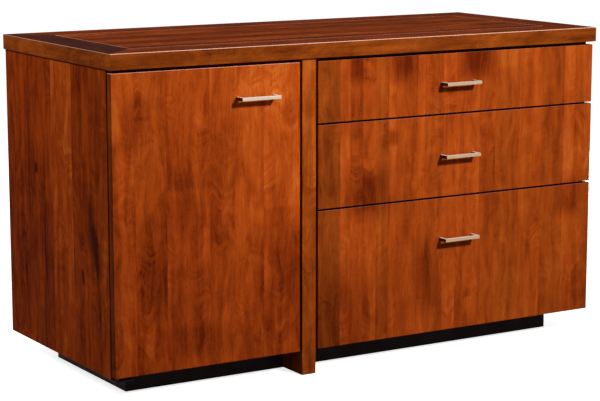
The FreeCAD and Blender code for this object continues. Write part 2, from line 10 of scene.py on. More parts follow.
import bpy
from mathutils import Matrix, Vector


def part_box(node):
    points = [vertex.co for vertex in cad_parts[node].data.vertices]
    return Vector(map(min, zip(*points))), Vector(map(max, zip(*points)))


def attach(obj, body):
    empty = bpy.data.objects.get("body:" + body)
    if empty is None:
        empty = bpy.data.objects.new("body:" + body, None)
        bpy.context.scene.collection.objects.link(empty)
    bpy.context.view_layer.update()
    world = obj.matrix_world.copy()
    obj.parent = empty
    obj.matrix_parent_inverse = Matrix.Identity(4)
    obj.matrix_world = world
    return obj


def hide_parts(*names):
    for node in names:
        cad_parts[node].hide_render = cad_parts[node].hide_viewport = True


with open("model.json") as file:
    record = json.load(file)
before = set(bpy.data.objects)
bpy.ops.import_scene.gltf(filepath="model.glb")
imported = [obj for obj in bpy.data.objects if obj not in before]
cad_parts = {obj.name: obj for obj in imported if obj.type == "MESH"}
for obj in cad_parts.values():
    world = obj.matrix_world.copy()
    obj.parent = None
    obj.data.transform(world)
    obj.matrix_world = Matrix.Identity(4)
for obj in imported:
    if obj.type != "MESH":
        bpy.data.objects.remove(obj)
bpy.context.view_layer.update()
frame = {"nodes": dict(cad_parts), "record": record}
NODES = frame["nodes"]
BODIES = frame["record"]["behaviour"]["bodies"]
BODY_OF = {node: body for body, nodes in BODIES.items() for node in nodes}
DRAWER_NAMES = ["top_drawer", "middle_drawer", "bottom_drawer"]
MM = 0.001
X, Y, Z = 0, 1, 2
# Corners this near to a plane lie on it.
TOUCH = 0.01 * MM

Finish = namedtuple("Finish", "material slot")


# ---------------------------------------------------------------- colours and nodes

# The inputs of a Mix node that blends two colours.
FACTOR, UNDER, OVER = 0, 6, 7
SMOOTH = {"interpolation_type": "SMOOTHSTEP"}


def linear(hex_colour):
    """An sRGB hex value as a linear colour with alpha."""
    values = [int(hex_colour[i:i + 2], 16) / 255 for i in (1, 3, 5)]
    return tuple(v / 12.92 if v <= 0.04045 else ((v + 0.055) / 1.055) ** 2.4 for v in values) + (1.0,)


def shades(places, hex_colours):
    """The stops of a colour ramp."""
    return [(place, linear(colour)) for place, colour in zip(places, hex_colours)]


def add(tree, kind, inputs=(), stops=(), interpolation="LINEAR", **settings):
    """Adds a node with its settings and links.

    Inputs come in order, or by name or number. A node among them links its first open output, and a
    socket links itself. The stops of a colour ramp are (place, linear colour).
    """
    node = tree.nodes.new("ShaderNode" + kind)
    for name, value in settings.items():
        setattr(node, name, value)
    for name, value in inputs.items() if isinstance(inputs, dict) else enumerate(inputs):
        if isinstance(value, bpy.types.Node):
            value = next(socket for socket in value.outputs if socket.enabled)
        if isinstance(value, bpy.types.NodeSocket):
            tree.links.new(value, node.inputs[name])
        else:
            node.inputs[name].default_value = value
    if stops:
        node.color_ramp.interpolation = interpolation
        elements = node.color_ramp.elements
        while len(elements) < len(stops):
            elements.new(0.5)
        for element, (place, colour) in zip(elements, stops):
            element.position = place
            element.color = colour
    return node


def new_material(name):
    material = bpy.data.materials.new(name)
    material.use_nodes = True
    material.node_tree.nodes.clear()
    return material, material.node_tree


# ---------------------------------------------------------------- features of a surface

# A feature is noise: its size in millimetres (on wood across, through and along the grain, on metal along
# X, Y and Z), what it adds to the seed, and how detailed, rough and distorted the noise is.
Feature = namedtuple("Feature", "size shift detail roughness distortion", defaults=(3.0, 0.55, 0.0))
CLOUDS = Feature((75, 50, 190), 0, 2.0)
BLOTCHES = Feature((28, 28, 60), 1, 4.0, 0.6, 0.6)
CURL = Feature((75, 75, 17), 2, 2.0, 0.5, 0.5)
CURLY_PARTS = Feature((80, 80, 130), 3, 1.0)
BANDS = Feature((15, 15, 190), 4)
# Fibres and pores are finer on real alder. They are drawn as coarse as they need to show.
FIBRES = Feature((2.6, 2.6, 45), 5, 3.0, 0.65)
PORES = Feature((2.6, 2.6, 12), 6, 1.0)
MINERALS = Feature((12, 12, 240), 7, 3.0, 0.55, 0.6)
WANDERING = Feature((90, 90, 150), 8, 2.0)
CLIMBING = Feature((55, 55, 160), 9, 1.0)
# The brushed lines are far finer. They are drawn as coarse as they need to show.
BRUSHED_LINES = Feature((18, 0.4, 0.4), 1)
BLAST_MARKS = Feature((12, 4, 4), 2)
DRAWN_LINES = Feature((1.2, 30, 1.2), 3, 2.0)
# How far one step of the seed moves the noise, in features.
SEED_STEP = (3.7, 1.9, 5.3)


def figure(tree, vector, feature, seed=0.0):
    """How strongly a feature shows at a place, mostly from 0.2 to 0.8."""
    place = add(tree, "Mapping", {
        "Vector": vector, "Scale": tuple(1 / (size * MM) for size in feature.size),
        "Location": tuple((seed + feature.shift) * step for step in SEED_STEP)})
    return add(tree, "TexNoise", {"Vector": place, "Scale": 1.0, "Detail": feature.detail,
                                  "Roughness": feature.roughness, "Distortion": feature.distortion})


# ---------------------------------------------------------------- wood

AXES = {"x": X, "y": Y, "z": Z}
# The grain wanders half of this to either side, and the curl climbs half of this up and down.
WANDER = 36 * MM
CLIMB = 120 * MM
# A stave is made of pieces about this long. Its own figure starts up to this far from its neighbours'.
PIECE_LENGTH = 420 * MM
FIGURE_SHIFT = 5.0
GLUE_LINE = 0.7 * MM
# Painted shade: a front or post gets darker from the upper of these heights to the lower, as the light falls
# off towards the floor.
FOOT_LOW, FOOT_HIGH = 0.2, 0.7
# Painted shadow: the dark line under a worktop fades out between these distances below it.
LINE_END, LINE_START = 5 * MM, 2.5 * MM
STAIN_PLACES = (0.12, 0.4, 0.6, 0.9)
# Each stain on the raw wood, from its darkest figure to its lightest.
ORANGE_STAIN = ("#5A1A06", "#92380D", "#B04A14", "#D06C28")
DRAWER_STAIN = ("#5E1C06", "#91390E", "#AA4713", "#C46222")
SIDE_STAIN = ("#3C0F02", "#782805", "#97390A", "#C0601E")
POST_STAIN = ("#6A2A0C", "#984210", "#B4561C", "#D2803A")
EDGE_STAIN = ("#481805", "#74320B", "#8E4210", "#B05C1E")
BROWN_STAIN = ("#320F04", "#622407", "#7C320B", "#A24C16")
PURPLE_STAIN = ("#200B08", "#371710", "#431D14", "#5E2B1C")
DOOR_EDGE_STAIN = ("#300F04", "#5C2506", "#733009", "#965014")
# Painted shade, not a stain: the dark of the shadow in the gaps between the drawer fronts and under the
# worktop.
PAINTED_SHADE = ("#1C0904", "#2C1007", "#38160A", "#481E0E")
PALE_STAIN = ("#A98558", "#C6A474", "#D6B98C", "#E2CBA4")
# A painted highlight for the arrises that face up.
ARRIS_HIGHLIGHT_COLOUR = "#E8BCA4"
OLIVE_TINT = (0.74, 0.98, 0.9, 1.0)

# How light each stave is, from -1 to 1, and how olive, from 0 to 1, after its width in millimetres.
DOOR_STAVES = [(52, 0.45, 0.1), (76, 0.1, 0.2), (107, 0.3, 0.0), (63, 0.4, 0.1), (74, 0.4, 0.1),
               (100, 0.6, 0.0)]
DRAWER_STAVES = [(57, -0.15, 0.9), (28, 0.4, 0.1), (33, -0.3, 0.1), (38, 0.3, 0.1), (34, -0.15, 0.6),
                 (24, 0.2, 0.1), (58, -0.3, 0.2), (21, 0.35, 0.0), (53, -0.1, 0.3), (38, 0.05, 0.1),
                 (22, -0.35, 0.1), (46, -0.1, 0.1), (46, -0.25, 0.2), (72, 0.2, 0.5), (40, 0.0, 0.3),
                 (28, 0.3, 0.1), (68, 0.0, 0.4), (35, 0.35, 0.1), (53, -0.1, 0.2)]
SIDE_STAVES = [(38, 0.3, 0.5), (50, -0.3, 0.4), (35, 0.15, 0.3), (52, -0.25, 0.2), (110, 0.7, 0.2),
               (48, 0.0, 0.2), (100, -0.45, 0.2), (60, 0.05, 0.1), (60, -0.15, 0.1)]
PANEL_STAVES = [(38, -0.75, 0.0), (57, 0.5, 0.2), (60, -0.3, 0.1), (52, 0.5, 0.2), (68, -0.35, 0.1),
                (50, 0.45, 0.2), (62, 0.0, 0.1)]
# Spreads the starts of the staves' figures evenly.
GOLDEN_STEP = 0.618


def random_staves(seed, width, usual=62):
    """Staves of uneven width and tone, which fill a width in millimetres."""
    chance = random.Random(seed)
    staves = []
    while sum(stave[0] for stave in staves) < width:
        wide = usual * chance.uniform(0.6, 1.4)
        staves.append((wide, chance.uniform(-0.35, 0.35), chance.uniform(0.0, 0.6)))
    return staves


def lay_up(tree, place, staves, start):
    """Looks up the stave at a place: its lightness, its olive tint and where its own figure starts."""
    width = sum(stave[0] for stave in staves) * MM
    share = add(tree, "Math", (place, start), operation="SUBTRACT")
    share = add(tree, "Math", (share, width), operation="DIVIDE")
    stops = []
    edge = 0.0
    for index, (wide, light, olive) in enumerate(staves):
        stops.append((edge / width, (0.5 + light / 2, olive, index * GOLDEN_STEP % 1, 1.0)))
        edge += wide * MM
    found = add(tree, "ValToRGB", (share,), stops, "CONSTANT")
    return add(tree, "SeparateColor", (found,)).outputs


Streak = namedtuple("Streak", "across height half_width half_length lean depth")


def heart_streak(tree, wander, offset, length, streak):
    """How much a dark streak of heartwood takes from the level. It leans, and wanders with the grain."""
    past = add(tree, "Math", (length, streak.height), operation="SUBTRACT")
    centre = add(tree, "Math", (past, streak.lean, streak.across + WANDER / 2), operation="MULTIPLY_ADD")
    beside = add(tree, "Math", (wander, offset), operation="SUBTRACT")
    beside = add(tree, "Math", (beside, centre), operation="SUBTRACT")
    beside = add(tree, "Math", (beside,), operation="ABSOLUTE")
    past = add(tree, "Math", (past,), operation="ABSOLUTE")
    narrow = add(tree, "MapRange", (beside, 0.0, streak.half_width, streak.depth, 0.0), **SMOOTH)
    short = add(tree, "MapRange", (past, 0.3 * streak.half_length, streak.half_length, 1.0, 0.0), **SMOOTH)
    return add(tree, "Math", (narrow, short), operation="MULTIPLY")


def wood(name, along, across, stain, staves, start, seed, top_stain_and_shade=None, arris_highlight=0.8, mineral=0.35,
         foot=0.0, edge_stain=None, streaks=(), line=None):
    """Edge-glued alder or birch staves, sanded, stained and sprayed with satin lacquer.

    The eye sees staves of uneven width, each with its own tone and made of a few pieces, soft blotches
    where the stain went in unevenly, a little curl across the grain, wandering streaks, short pores,
    thin dark glue lines, and a painted highlight on the arrises that face up. Faces that look up may
    have a colour of their own: a stain, or painted shade where they lie in shadow. Narrow edge faces may
    have a stain of their own. Painted shade makes the board darker towards the foot, and lays a dark
    line under whatever lies on the board, at the height `line`. Streaks of heartwood are darker.
    """
    material, tree = new_material(name)
    coordinates = add(tree, "TexCoord").outputs
    place = add(tree, "SeparateXYZ", (coordinates["Object"],)).outputs
    normal = add(tree, "SeparateXYZ", (coordinates["Normal"],)).outputs
    side, length = place[AXES[across]], place[AXES[along]]
    through = place[({X, Y, Z} - {AXES[along], AXES[across]}).pop()]

    # Each stave starts its own figure, which wanders from side to side along the grain.
    stave = lay_up(tree, side, staves, start)
    beside = lay_up(tree, add(tree, "Math", (side, GLUE_LINE), operation="ADD"), staves, start)
    offset = add(tree, "Math", (stave["Blue"], FIGURE_SHIFT), operation="MULTIPLY")
    own_side = add(tree, "Math", (side, offset), operation="ADD")
    own_length = add(tree, "Math", (length, offset), operation="ADD")
    even = add(tree, "CombineXYZ", (side, through, length))
    wander = figure(tree, even, WANDERING, seed)
    wander = add(tree, "Math", (wander, WANDER, own_side), operation="MULTIPLY_ADD")
    grain = add(tree, "CombineXYZ", (wander, through, own_length))
    piece = add(tree, "TexVoronoi", {"W": own_length, "Scale": 1 / PIECE_LENGTH, "Smoothness": 0.06},
                voronoi_dimensions="1D", feature="SMOOTH_F1")
    piece = add(tree, "SeparateColor", (piece.outputs["Color"],)).outputs["Red"]

    # Curl: soft waves across the grain, which climb and dip along the board.
    climb = figure(tree, even, CLIMBING, seed)
    climb = add(tree, "Math", (climb, CLIMB, own_length), operation="MULTIPLY_ADD")
    waves = add(tree, "CombineXYZ", (wander, through, climb))
    curly = add(tree, "MapRange", (figure(tree, grain, CURLY_PARTS, seed), 0.48, 0.66), **SMOOTH)
    ripple = add(tree, "Math", (figure(tree, waves, CURL, seed), 0.5), operation="SUBTRACT")
    ripple = add(tree, "Math", (curly, ripple, 0.5), operation="MULTIPLY_ADD")

    clouds = add(tree, "MapRange", (figure(tree, grain, CLOUDS, seed), 0.3, 0.7), **SMOOTH)
    blotches = add(tree, "MapRange", (figure(tree, waves, BLOTCHES, seed), 0.28, 0.72), **SMOOTH)
    bands = add(tree, "MapRange", (figure(tree, grain, BANDS, seed), 0.3, 0.7), **SMOOTH)
    fibres = figure(tree, grain, FIBRES, seed)
    pores = add(tree, "MapRange", (figure(tree, grain, PORES, seed), 0.58, 0.7), **SMOOTH)

    # The level says how light the figure is. Each part moves it by half its weight either way.
    level = 0.5
    for part, weight in ((stave["Red"], 0.34), (piece, 0.12), (clouds, 0.14), (blotches, 0.15),
                         (ripple, 0.55), (bands, 0.17), (fibres, 0.22)):
        part = add(tree, "Math", (part, weight, -weight / 2), operation="MULTIPLY_ADD")
        level = add(tree, "Math", (level, part), operation="ADD")
    level = add(tree, "Math", (pores, -0.1, level), operation="MULTIPLY_ADD")
    # Painted shade: darker towards the floor, where the light falls off.
    if foot:
        darker = add(tree, "MapRange", (place["Z"], FOOT_LOW, FOOT_HIGH, foot, 0.0), **SMOOTH)
        level = add(tree, "Math", (level, darker), operation="SUBTRACT")
    if streaks:
        uneven = add(tree, "Math", (blotches, 0.6, 0.4), operation="MULTIPLY_ADD")
        for streak in streaks:
            darker = heart_streak(tree, wander, offset, length, streak)
            darker = add(tree, "Math", (darker, uneven), operation="MULTIPLY")
            level = add(tree, "Math", (level, darker), operation="SUBTRACT")

    colour = add(tree, "ValToRGB", (level,), shades(STAIN_PLACES, stain))
    # Faces that look up take a colour of their own: a stain on the worktop rails, painted shade on the
    # drawer fronts' tops, which lie in the shadow of the gaps. Narrow edge faces may take a stain of their
    # own.
    ends = add(tree, "Math", (normal["X"],), operation="ABSOLUTE")
    for facing, other_stain in ((normal["Z"], top_stain_and_shade), (ends, edge_stain)):
        if other_stain:
            facing = add(tree, "MapRange", (facing, 0.5, 0.9), **SMOOTH)
            other = add(tree, "ValToRGB", (level,), shades(STAIN_PLACES, other_stain))
            colour = add(tree, "Mix", {FACTOR: facing, UNDER: colour, OVER: other}, data_type="RGBA")
    olive = add(tree, "Math", (stave["Green"], 0.8), operation="MULTIPLY")
    colour = add(tree, "Mix", {FACTOR: olive, UNDER: colour, OVER: OLIVE_TINT}, data_type="RGBA",
                 blend_type="MULTIPLY")

    # Mineral streaks, and the fine dark line of each glue joint.
    minerals = figure(tree, grain, MINERALS, seed)
    minerals = add(tree, "MapRange", (minerals, 0.62, 0.78, 0.0, mineral), **SMOOTH)
    joint = add(tree, "Math", (stave["Blue"], beside["Blue"]), operation="SUBTRACT")
    joint = add(tree, "Math", (joint,), operation="ABSOLUTE")
    joint = add(tree, "MapRange", (joint, 0.0, 0.02, 0.0, 0.3), **SMOOTH)
    # Painted highlight: the arrises are paler where they face up to the light.
    highlight_mask = add(tree, "Math", (1.0, normal["Z"]), operation="SUBTRACT")
    highlight_mask = add(tree, "Math", (normal["Z"], highlight_mask), operation="MULTIPLY")
    highlight_mask = add(tree, "MapRange", (highlight_mask, 0.05, 0.2, 0.0, arris_highlight), **SMOOTH)
    covers = [(minerals, stain[0]), (joint, stain[0]), (highlight_mask, ARRIS_HIGHLIGHT_COLOUR)]
    # Painted shadow: a dark line just below the height given, under whatever lies on the board.
    if line:
        edge = add(tree, "MapRange", (place["Z"], line - LINE_END, line - LINE_START, 0.0, 0.85), **SMOOTH)
        covers.append((edge, PAINTED_SHADE[0]))
    for amount, over in covers:
        colour = add(tree, "Mix", {FACTOR: amount, UNDER: colour, OVER: linear(over)}, data_type="RGBA")

    fine = add(tree, "Math", (bands, 0.4), operation="MULTIPLY")
    fine = add(tree, "Math", (fibres, 0.6, fine), operation="MULTIPLY_ADD")
    # The film is thin and rubbed dull, so only a trace of its gloss is left, in the coat.
    shader = add(tree, "BsdfPrincipled", {
        "Base Color": colour, "Roughness": add(tree, "MapRange", (bands, 0.0, 1.0, 0.5, 0.6), **SMOOTH),
        "Normal": add(tree, "Bump", {"Height": fine, "Strength": 0.12, "Distance": 0.3 * MM}),
        "Specular IOR Level": 0.0, "Coat Weight": 0.02, "Coat IOR": 1.5, "Coat Roughness": 0.3})
    add(tree, "OutputMaterial", (shader,))
    return material


# ---------------------------------------------------------------- paint, metal and plastic

def black_paint(name):
    """Plinth boards in matt black paint, rolled on: near black, with a faint orange-peel."""
    material, tree = new_material(name)
    place = add(tree, "TexCoord").outputs["Object"]
    peel = add(tree, "TexNoise", {"Vector": place, "Scale": 1 / (2.5 * MM), "Detail": 2.0})
    scuffs = add(tree, "TexNoise", {"Vector": place, "Scale": 1 / (60 * MM), "Detail": 5.0})
    shader = add(tree, "BsdfPrincipled", {
        "Base Color": add(tree, "ValToRGB", (scuffs,), shades((0.35, 0.7), ("#1A1210", "#261B19"))),
        "Normal": add(tree, "Bump", {"Height": peel, "Strength": 0.1, "Distance": 0.2 * MM}),
        "Roughness": add(tree, "MapRange", (scuffs, 0.3, 0.7, 0.6, 0.75), **SMOOTH),
        "IOR": 1.5, "Specular IOR Level": 0.05})
    add(tree, "OutputMaterial", (shader,))
    return material


def satin_nickel(name, dark, light):
    """Die-cast zinc with satin nickel plate: a warm grey bar, bead-blasted and brushed along its length.

    The blasted skin scatters about half of the light, so a face out of the light goes dark.
    """
    material, tree = new_material(name)
    coordinates = add(tree, "TexCoord").outputs
    normal = add(tree, "SeparateXYZ", (coordinates["Normal"],)).outputs
    lines = figure(tree, coordinates["Object"], BRUSHED_LINES)
    marks = figure(tree, coordinates["Object"], BLAST_MARKS)
    # Painted shade and painted reflection: the faces across the bar, out of the key light, are made dark
    # brown like the shaded wood they mirror.
    across = add(tree, "Math", (normal["X"],), operation="ABSOLUTE")
    across = add(tree, "MapRange", (across, 0.6, 0.9), **SMOOTH)
    # Painted highlight: the faces on top are made pale, as if lit from above.
    up = add(tree, "MapRange", (normal["Z"], 0.6, 0.9, 0.0, 0.8), **SMOOTH)
    colour = add(tree, "ValToRGB", (lines,), shades((0.3, 0.7), (dark, light)))
    for amount, over in ((across, "#2C140A"), (up, "#FFF0EA")):
        colour = add(tree, "Mix", {FACTOR: amount, UNDER: colour, OVER: linear(over)}, data_type="RGBA")
    shader = add(tree, "BsdfPrincipled", {
        "Base Color": colour, "Metallic": 0.4,
        "Normal": add(tree, "Bump", {"Height": lines, "Strength": 0.15, "Distance": 0.05 * MM}),
        "Roughness": add(tree, "MapRange", (marks, 0.3, 0.7, 0.42, 0.54), **SMOOTH)})
    add(tree, "OutputMaterial", (shader,))
    return material


def zinc_plate(name):
    """Pressed steel with bright zinc plate: cool grey, spangled a little, with faint drawn lines."""
    material, tree = new_material(name)
    place = add(tree, "TexCoord").outputs["Object"]
    spangle = add(tree, "TexVoronoi", {"Vector": place, "Scale": 1 / (2 * MM)}).outputs["Color"]
    tone = add(tree, "SeparateColor", (spangle,)).outputs["Red"]
    level = add(tree, "Math", (tone, 0.4), operation="MULTIPLY")
    level = add(tree, "Math", (figure(tree, place, DRAWN_LINES), 0.6, level), operation="MULTIPLY_ADD")
    shader = add(tree, "BsdfPrincipled", {
        "Base Color": add(tree, "ValToRGB", (level,), shades((0.3, 0.7), ("#A6A8AA", "#BCBEBF"))),
        "Roughness": add(tree, "MapRange", (level, 0.3, 0.7, 0.25, 0.4), **SMOOTH), "Metallic": 1.0})
    add(tree, "OutputMaterial", (shader,))
    return material


def black_enamel(name):
    """Pressed steel in black stove enamel: black, faintly grained and dull."""
    material, tree = new_material(name)
    place = add(tree, "TexCoord").outputs["Object"]
    grain = add(tree, "TexNoise", {"Vector": place, "Scale": 1 / (1.5 * MM), "Detail": 3.0})
    shader = add(tree, "BsdfPrincipled", {
        "Base Color": add(tree, "ValToRGB", (grain,), shades((0.3, 0.7), ("#0C0A09", "#151210"))),
        "Normal": add(tree, "Bump", {"Height": grain, "Strength": 0.15, "Distance": 0.1 * MM}),
        "Roughness": add(tree, "MapRange", (grain, 0.3, 0.7, 0.5, 0.6), **SMOOTH),
        "IOR": 1.5, "Specular IOR Level": 0.05})
    add(tree, "OutputMaterial", (shader,))
    return material


def moulded_plastic(name, dark, light):
    """Injection-moulded plastic with a fine spark-eroded texture: even in colour and dull."""
    material, tree = new_material(name)
    place = add(tree, "TexCoord").outputs["Object"]
    texture = add(tree, "TexNoise", {"Vector": place, "Scale": 1 / (0.8 * MM), "Detail": 3.0})
    flow = add(tree, "TexNoise", {"Vector": place, "Scale": 1 / (15 * MM), "Detail": 2.0})
    shader = add(tree, "BsdfPrincipled", {
        "Base Color": add(tree, "ValToRGB", (flow,), shades((0.3, 0.7), (dark, light))),
        "Normal": add(tree, "Bump", {"Height": texture, "Strength": 0.2, "Distance": 0.1 * MM}),
        "Roughness": add(tree, "MapRange", (flow, 0.3, 0.7, 0.45, 0.6), **SMOOTH), "IOR": 1.48})
    add(tree, "OutputMaterial", (shader,))
    return material


# ---------------------------------------------------------------- the finishes

CASE_LEFT, CASE_FRONT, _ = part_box("left_side_panel")[0]
DRAWERS_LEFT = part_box("top_drawer_front")[0].x
TOP_LOW, TOP_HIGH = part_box("worktop_panel")
# The centre panel reaches this far in front of the sides.
POST_FRONT = CASE_FRONT - 30 * MM

# Streaks of heartwood near the side's front edge and down its middle, and two small knots.
SIDE_STREAKS = [
    Streak(-0.160, 0.375, 0.045, 0.12, 0.37, 0.32), Streak(-0.186, 0.320, 0.022, 0.08, 0.2, 0.28),
    Streak(-0.193, 0.235, 0.010, 0.12, 0.05, 0.3), Streak(0.090, 0.270, 0.010, 0.28, 0.0, 0.2),
    Streak(-0.113, 0.254, 0.013, 0.022, 0.0, 0.5), Streak(0.130, 0.468, 0.011, 0.018, 0.0, 0.5),
]

# Soft dark patches on the fronts. On the drawers the stain went in deeper; the door's are large and lie low
# on its left, so it is darker towards its lower left.
DOOR_PATCHES = [
    Streak(-0.500, 0.300, 0.13, 0.20, 0.0, 0.1), Streak(-0.450, 0.120, 0.14, 0.05, 0.0, 0.2),
    Streak(-0.600, 0.620, 0.04, 0.08, 0.0, 0.2),
]
DRAWER_PATCHES = [
    Streak(-0.036, 0.705, 0.045, 0.060, 0.0, 0.36), Streak(0.088, 0.712, 0.075, 0.075, 0.0, 0.44),
    Streak(0.305, 0.712, 0.085, 0.080, 0.0, 0.44), Streak(0.062, 0.531, 0.034, 0.026, 0.0, 0.4),
    Streak(-0.006, 0.408, 0.105, 0.080, 0.0, 0.46), Streak(0.591, 0.350, 0.080, 0.065, 0.0, 0.46),
    Streak(-0.068, 0.090, 0.150, 0.200, 0.0, 0.4), Streak(0.162, 0.190, 0.060, 0.130, 0.0, 0.3),
]


def rail_wood(side, along, across, width, seed, top_stain_and_shade, arris_highlight):
    """A rail is one board, so a single stave of this width in millimetres covers it."""
    return Finish(wood(f"stained_alder_{side}_rail", along, across, EDGE_STAIN, [(width, 0.0, 0.0)],
                       -width / 2 * MM, seed, top_stain_and_shade, arris_highlight), "worktop_wood")


def box_wood(part, along, across, staves, start, seed):
    """The clear birch of the drawer boxes, whose painted arris highlight and mineral streaks hardly show."""
    return Finish(wood(f"clear_birch_{part}", along, across, PALE_STAIN, staves, start, seed, arris_highlight=0.2,
                       mineral=0.1), "pale_wood")


DOOR_WOOD = Finish(wood("stained_alder_door", "z", "x", ORANGE_STAIN, DOOR_STAVES, CASE_LEFT, 1.0, arris_highlight=0.9,
                        foot=0.21, edge_stain=DOOR_EDGE_STAIN, streaks=DOOR_PATCHES), "front_wood")
# The drawer fronts' top faces are painted with shade, as they lie in the shadow of the gaps.
DRAWER_WOOD = Finish(wood("stained_alder_drawer_fronts", "z", "x", DRAWER_STAIN, DRAWER_STAVES, DRAWERS_LEFT,
                          4.0, PAINTED_SHADE, arris_highlight=0.15, streaks=DRAWER_PATCHES), "front_wood")
POST_WOOD = Finish(wood("stained_alder_post", "z", "y", POST_STAIN, random_staves(3, 600), POST_FRONT, 3.0,
                        arris_highlight=0.4, foot=0.22), "case_wood")
SIDE_WOOD = Finish(wood("stained_alder_sides", "z", "y", SIDE_STAIN, SIDE_STAVES, CASE_FRONT, 2.0, arris_highlight=0.0,
                        mineral=0.6, foot=0.06, streaks=SIDE_STREAKS, line=TOP_LOW.z), "case_wood")
SHELF_WOOD = Finish(wood("stained_alder_shelves", "x", "y", SIDE_STAIN, random_staves(5, 600), CASE_FRONT,
                         5.0), "case_wood")
BACK_WOOD = Finish(wood("stained_alder_backs", "z", "x", SIDE_STAIN, random_staves(6, 1350), CASE_LEFT,
                        6.0), "case_wood")
PANEL_WOOD = Finish(wood("stained_alder_worktop", "x", "y", BROWN_STAIN, PANEL_STAVES, TOP_LOW.y, 7.0,
                         arris_highlight=0.35), "worktop_wood")
FRONT_RAIL_WOOD = rail_wood("front", "x", "y", 700, 8.0, BROWN_STAIN, 1.0)
BACK_RAIL_WOOD = rail_wood("back", "x", "y", 700, 10.0, BROWN_STAIN, 0.3)
LEFT_RAIL_WOOD = rail_wood("left", "y", "x", 1400, 9.0, PURPLE_STAIN, 0.4)
RIGHT_RAIL_WOOD = rail_wood("right", "y", "x", 1400, 14.0, BROWN_STAIN, 0.4)
BOX_SIDE_WOOD = box_wood("sides", "y", "z", random_staves(11, 800, 90), 0.0, 11.0)
BOX_END_WOOD = box_wood("ends", "x", "z", random_staves(12, 800, 90), 0.0, 12.0)
BOX_BOTTOM_WOOD = box_wood("bottoms", "x", "y", random_staves(13, 600, 150), CASE_FRONT, 13.0)
PLINTH_PAINT = Finish(black_paint("matt_black_paint"), "black_plinth")
DOOR_PULL_METAL = Finish(satin_nickel("satin_nickel_plate", "#B39F8F", "#C7B4A4"), "satin_nickel")
# The drawer pulls have the same plate as the door's pull; their copy of it is given a darker, warmer colour.
DRAWER_PULL_METAL = Finish(satin_nickel("warm_satin_nickel_plate", "#A1876A", "#B69D7D"), "satin_nickel")
ZINC = Finish(zinc_plate("bright_zinc_plate"), "zinc_steel")
ENAMEL = Finish(black_enamel("black_stove_enamel"), "bracket_steel")
BUSH_PLASTIC = Finish(moulded_plastic("white_acetal", "#C8C2B4", "#DAD5C8"), "bush_plastic")
CATCH_PLASTIC = Finish(moulded_plastic("brown_nylon", "#3A2012", "#4A2A18"), "catch_plastic")


# ---------------------------------------------------------------- how a piece is shaped

def take(piece):
    """Makes the piece the only one selected."""
    bpy.ops.object.select_all(action="DESELECT")
    piece.select_set(True)
    bpy.context.view_layer.objects.active = piece


def block(name, low, high):
    """A block at its size and place, which every board and bar starts from."""
    low, high = Vector(low), Vector(high)
    bpy.ops.object.select_all(action="DESELECT")
    bpy.ops.mesh.primitive_cube_add(size=1, location=(low + high) / 2, scale=high - low)
    piece = bpy.context.object
    piece.name = name
    bpy.ops.object.transform_apply(location=True, rotation=True, scale=True)
    return piece


def choose(piece, kind, test):
    """In edit mode, selects the edges or faces of which test(middle, corners) is true."""
    take(piece)
    bpy.ops.object.mode_set(mode="EDIT")
    bpy.ops.mesh.select_mode(type=kind)
    bpy.ops.mesh.select_all(action="DESELECT")
    bpy.ops.object.mode_set(mode="OBJECT")
    mesh = piece.data
    for part in mesh.edges if kind == "EDGE" else mesh.polygons:
        corners = [mesh.vertices[index].co for index in part.vertices]
        part.select = test(sum(corners, Vector()) / len(corners), corners)
    bpy.ops.object.mode_set(mode="EDIT")


def all_on(corners, axis, place):
    return all(abs(corner[axis] - place) < TOUCH for corner in corners)


def on_edge(axis, place, other_axis, other_place):
    """A test for edges that lie on two planes."""
    return lambda middle, ends: all_on(ends, axis, place) and all_on(ends, other_axis, other_place)


def soften(piece, size, test=lambda middle, ends: True, segments=2):
    """Rounds the edges that pass the test. One segment leaves a flat."""
    choose(piece, "EDGE", test)
    bpy.ops.mesh.bevel(offset=size, segments=segments, affect="EDGES")
    bpy.ops.object.mode_set(mode="OBJECT")


def soften_sharp(piece, size):
    """Rounds every edge where the surface turns."""
    choose(piece, "EDGE", lambda middle, ends: False)
    bpy.ops.mesh.edges_select_sharp(sharpness=math.radians(30))
    bpy.ops.mesh.bevel(offset=size, segments=2, affect="EDGES")
    bpy.ops.object.mode_set(mode="OBJECT")


def saw(piece, at, facing, keep_both=False):
    """Cuts through the piece. What lies past the plane, the way it faces, falls off."""
    take(piece)
    bpy.ops.object.mode_set(mode="EDIT")
    bpy.ops.mesh.select_all(action="SELECT")
    bpy.ops.mesh.bisect(plane_co=at, plane_no=facing, use_fill=not keep_both, clear_outer=not keep_both)
    bpy.ops.object.mode_set(mode="OBJECT")


def along_axis(axis, length):
    step = Vector((0, 0, 0))
    step[axis] = length
    return step


def copied(piece, shift=(0, 0, 0)):
    """A copy of the piece with its own mesh, moved by the shift."""
    copy = piece.copy()
    copy.data = piece.data.copy()
    bpy.context.scene.collection.objects.link(copy)
    copy.location = shift
    take(copy)
    bpy.ops.object.transform_apply(location=True, rotation=True, scale=True)
    return copy


def joined(name, pieces):
    """Several shapes as one piece."""
    bpy.ops.object.select_all(action="DESELECT")
    for piece in pieces:
        piece.select_set(True)
    bpy.context.view_layer.objects.active = pieces[0]
    if len(pieces) > 1:
        bpy.ops.object.join()
    pieces[0].name = name
    return pieces[0]


def finish_piece(piece, finish, node):
    """Gives the piece its finish and lets it stand for its node. Flat faces keep their own normals."""
    take(piece)
    bpy.ops.object.shade_smooth_by_angle(angle=math.radians(40))
    bpy.ops.object.modifier_add(type="WEIGHTED_NORMAL")
    piece.modifiers[0].keep_sharp = True
    bpy.ops.object.modifier_apply(modifier=piece.modifiers[0].name)
    piece.data.materials.clear()
    piece.data.materials.append(finish.material)
    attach(piece, BODY_OF[node])
    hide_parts(node)


